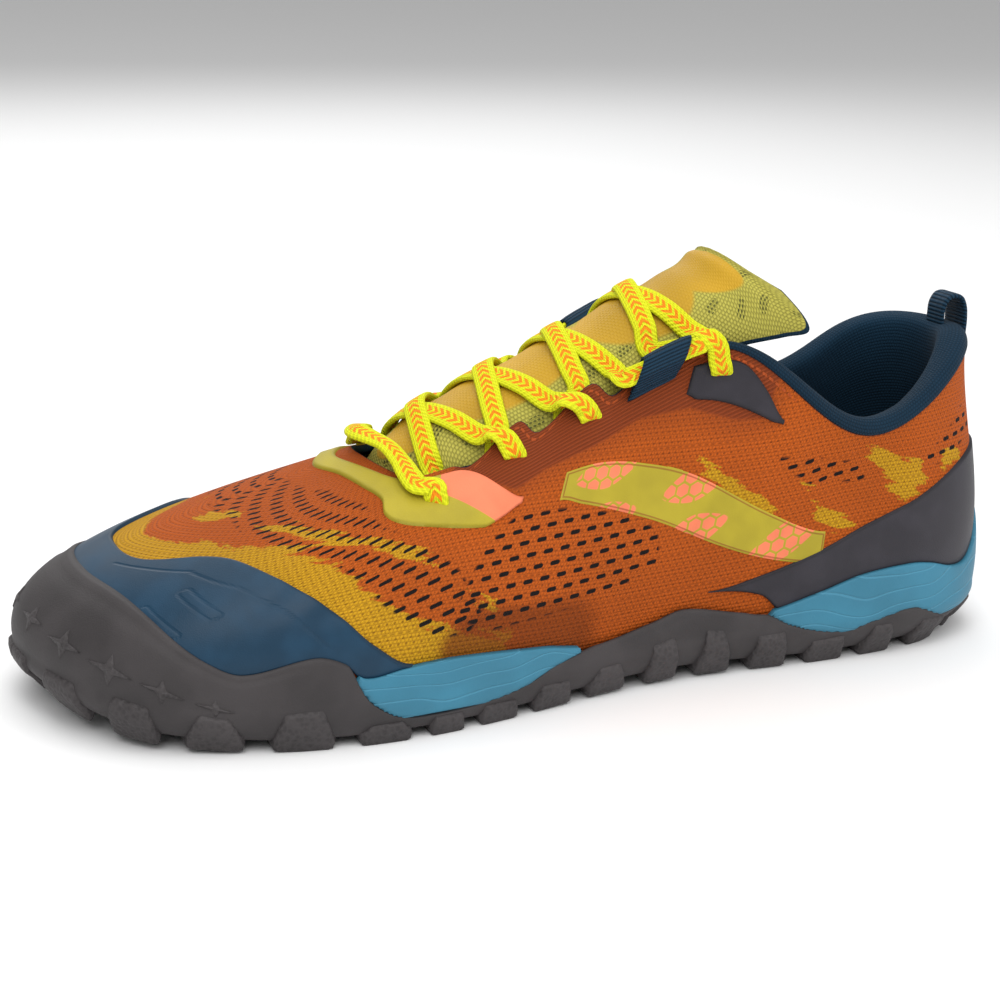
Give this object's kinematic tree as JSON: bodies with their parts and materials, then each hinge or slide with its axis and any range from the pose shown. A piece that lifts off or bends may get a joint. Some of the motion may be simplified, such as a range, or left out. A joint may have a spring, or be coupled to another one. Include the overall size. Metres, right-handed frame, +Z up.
{
  "type": "barefoot trail running shoe",
  "caption": "Low barefoot trail running shoe with a wide toe box, knitted upper, padded collar, flat lace and a thin lugged outsole that climbs the toe; left shoe.",
  "frame": {"origin": "on the floor under the middle of the shoe's bounding box", "axes": "+X towards the heel, -X towards the toe, -Y the outer side, +Y the inner side, +Z up"},
  "size_m": [0.29, 0.1034, 0.1158],
  "materials": {
    "rubber": "matt charcoal rubber",
    "foam": "satin blue foam",
    "lining": "navy knit",
    "knit": "orange engineered mesh",
    "film_grey": "welded charcoal film",
    "film_olive": "welded mustard film",
    "tongue_mesh": "lime spacer mesh",
    "lace": "flat woven lace, yellow with orange chevrons",
    "webbing": "ribbed navy webbing"
  },
  "bodies": {
    "root": {"outsole": "rubber", "midsole": "foam", "insole": "lining", "upper": "knit", "toe_cap": "film_grey", "heel_counter": "film_grey", "vamp_overlay": "film_olive", "eyelet_patch_outer": "film_olive", "eyelet_patch_inner": "film_olive", "collar": "lining", "tongue": "tongue_mesh", "laces": "lace", "lace_loop_outer": "webbing", "lace_loop_inner": "webbing", "heel_loop": "webbing"}
  },
  "joints": []
}
